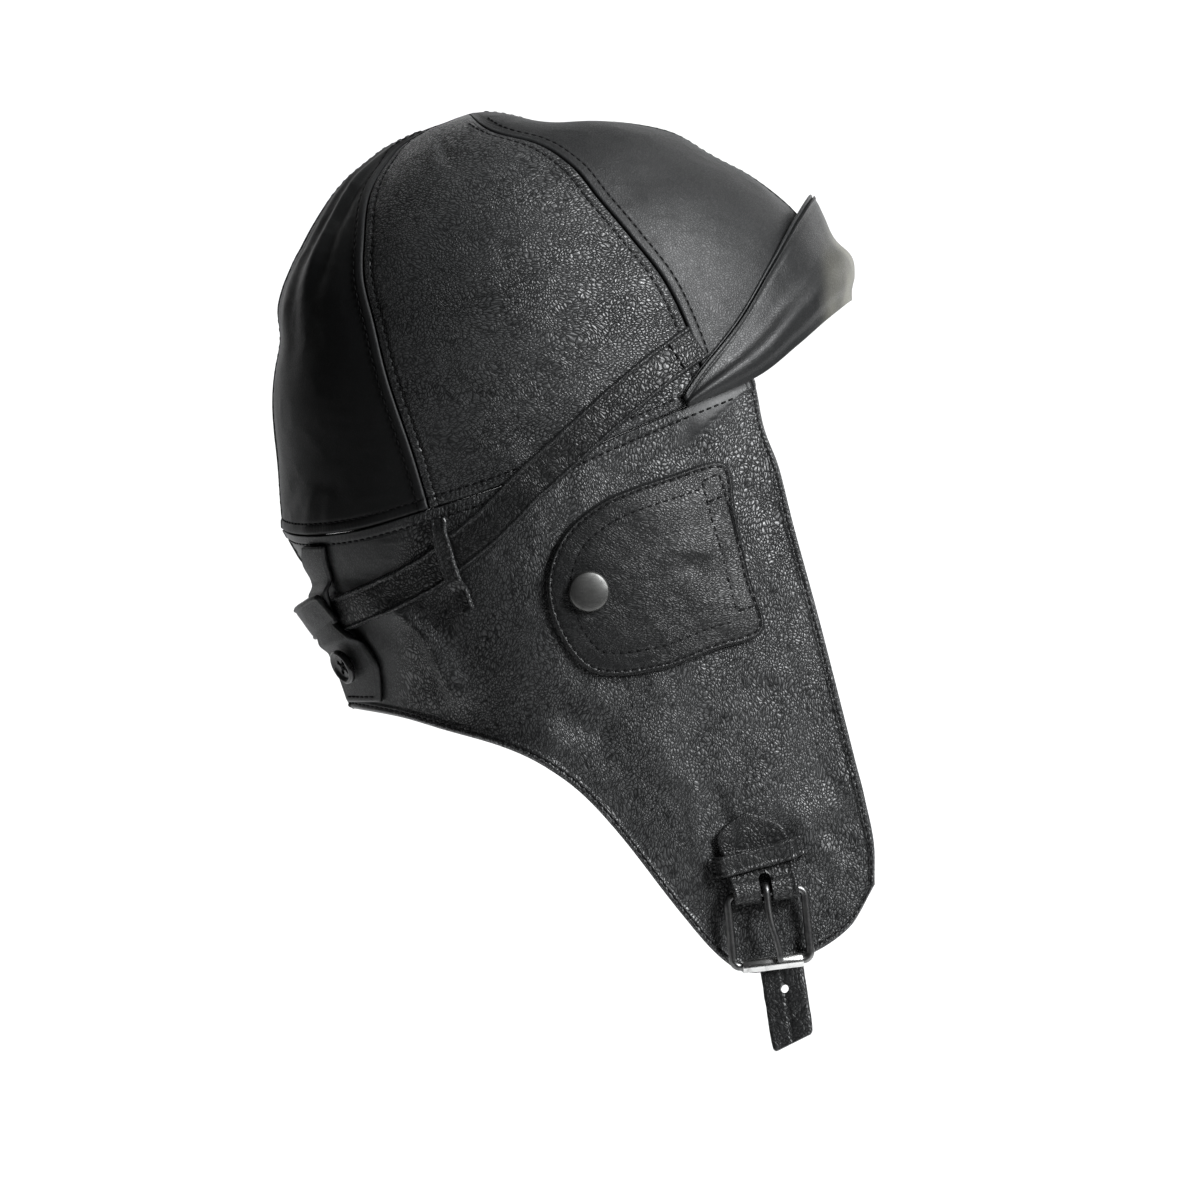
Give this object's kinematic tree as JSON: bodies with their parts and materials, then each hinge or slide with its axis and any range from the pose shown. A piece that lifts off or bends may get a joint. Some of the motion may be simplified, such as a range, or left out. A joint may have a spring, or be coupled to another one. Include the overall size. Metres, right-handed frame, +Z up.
{
  "type": "leather flying helmet",
  "caption": "Close leather flying helmet with a seamed crown, turned-up peak, ear flaps, head strap and an open roller buckle for the chin strap",
  "frame": {"origin": "middle of the head, level with the foot of the crown, where the helmet sits on a head", "axes": "the wearer faces -Y, the wearer's left is +X, up is +Z"},
  "size_m": [0.1698, 0.2113, 0.3334],
  "materials": {
    "leather_black": "fine-grained black nappa leather with a soft satin sheen",
    "metal_nickel": "polished nickel plate, lightly worn",
    "metal_gunmetal": "satin gunmetal",
    "button_black": "polished black"
  },
  "bodies": {
    "helmet": {"crown_front_right": "leather_black", "crown_front_left": "leather_black", "crown_side_right": "leather_black", "crown_side_left": "leather_black", "crown_rear_right": "leather_black", "crown_rear_left": "leather_black", "side_panel_right": "leather_black", "side_panel_left": "leather_black", "peak": "leather_black", "head_strap_right": "leather_black", "head_strap_left": "leather_black", "strap_slide": "leather_black", "side_loop_right": "leather_black", "rear_tab_right": "leather_black", "rear_button_right": "button_black", "ear_patch_right": "leather_black", "ear_snap_right": "metal_gunmetal", "side_loop_left": "leather_black", "rear_tab_left": "leather_black", "rear_button_left": "button_black", "ear_patch_left": "leather_black", "ear_snap_left": "metal_gunmetal", "buckle_tab": "leather_black", "buckle_keeper": "leather_black", "chin_strap": "leather_black"},
    "buckle": {"buckle_frame": "metal_nickel"},
    "prong": {"buckle_prong": "metal_nickel"},
    "roller": {"buckle_roller": "metal_nickel"}
  },
  "joints": [
    {"name": "buckle_swing", "type": "hinge", "parent": "helmet", "child": "buckle", "pos_m": [-0.06594, -0.07021, -0.16576], "axis": [-0.1304, 0.9843, -0.1186], "range_deg": [0, 60]},
    {"name": "prong_swing", "type": "hinge", "parent": "buckle", "child": "prong", "pos_m": [-0.06594, -0.07021, -0.16576], "axis": [-0.1304, 0.9843, -0.1186], "range_deg": [0, 55]},
    {"name": "roller_turn", "type": "hinge", "parent": "buckle", "child": "roller", "pos_m": [-0.06171, -0.07262, -0.19042], "axis": [-0.1304, 0.9843, -0.1186], "continuous": true}
  ]
}
